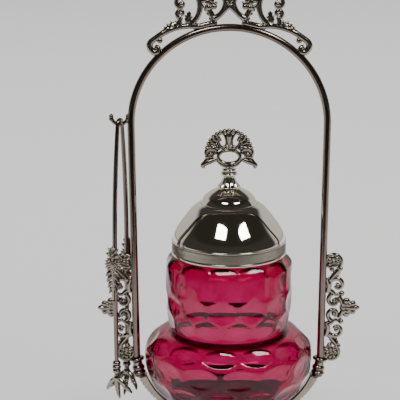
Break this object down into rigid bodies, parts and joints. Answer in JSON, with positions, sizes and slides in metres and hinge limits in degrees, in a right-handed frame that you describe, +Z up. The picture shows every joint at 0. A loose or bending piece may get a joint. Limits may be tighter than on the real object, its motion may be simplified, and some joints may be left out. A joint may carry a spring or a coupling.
{
  "type": "pickle castor",
  "caption": "Footed tableware frame with an arched handle, a lift-out glass jar with a lift-off domed lid, and spring claw tongs hung on a side hook",
  "frame": {"origin": "centre of the foot's underside, on the table", "axes": "+Z up, -Y to the front, +X to the right; the arched handle stands in the XZ plane and the tongs hang on the -X side"},
  "size_m": [0.1618, 0.1028, 0.3002],
  "materials": {
    "plate": "polished silver plate, warm in the recesses",
    "lid_plate": "bright polished silver plate",
    "cast_plate": "cast and plated, tarnished in the recesses",
    "plain_steel": "bright turned steel",
    "nut_brass": "dull brass",
    "cranberry": "clear cranberry glass with shallow thumbprints"
  },
  "bodies": {
    "frame": {"foot_rim": "plate", "foot_dome": "plate", "pedestal_stem": "plate", "tray_saucer": "plate", "cradle_arm_left": "plate", "cradle_arm_right": "plate", "socket_left": "plate", "socket_right": "plate", "socket_pins": "plain_steel", "arch_handle": "plate", "crest_casting": "cast_plate", "side_scroll_left": "cast_plate", "side_scroll_right": "cast_plate", "tong_hook": "plate", "tie_bolt": "plain_steel", "tie_washer": "plain_steel", "tie_nut": "nut_brass", "arm_rivets": "plain_steel"},
    "jar": {"glass_jar": "cranberry"},
    "lid": {"lid_bell": "lid_plate", "lid_band": "lid_plate", "lid_bezel": "lid_plate", "finial_stem": "cast_plate", "finial_collar": "cast_plate", "finial_fan": "cast_plate", "finial_screw": "plain_steel", "finial_washer": "plain_steel", "finial_nut": "nut_brass"},
    "tongs": {"tong_bow": "plate"},
    "tong_front": {"tong_arm_front": "plate", "tong_flower_front": "cast_plate", "tong_knuckle_front": "cast_plate", "tong_claw_front": "cast_plate"},
    "tong_back": {"tong_arm_back": "plate", "tong_flower_back": "cast_plate", "tong_knuckle_back": "cast_plate", "tong_claw_back": "cast_plate"}
  },
  "joints": [
    {"name": "jar_lift", "type": "slide", "parent": "frame", "child": "jar", "axis": [0, 0, 1], "range_m": [0, 0.016]},
    {"name": "lid_lift", "type": "slide", "parent": "jar", "child": "lid", "axis": [0, 0, 1], "range_m": [0, 0.038]},
    {"name": "tongs_lift", "type": "slide", "parent": "frame", "child": "tongs", "axis": [-0.35, 0, 0.9367], "range_m": [0, 0.012]},
    {"name": "tong_squeeze_front", "type": "hinge", "parent": "tongs", "child": "tong_front", "pos_m": [-0.06685, -0.00295, 0.2076], "axis": [0.9205, -0.3907, 0], "range_deg": [0, 0.9], "stiffness_Nm_per_rad": 0.5, "springref_deg": -0.57},
    {"name": "tong_squeeze_back", "type": "hinge", "parent": "tongs", "child": "tong_back", "pos_m": [-0.06435, 0.00295, 0.2076], "axis": [0.9205, -0.3907, 0], "range_deg": [-0.9, 0], "stiffness_Nm_per_rad": 0.5, "springref_deg": 0.57}
  ],
  "couplings": [
    {"joint": "tong_squeeze_back", "follows": "tong_squeeze_front", "ratio": -1}
  ]
}
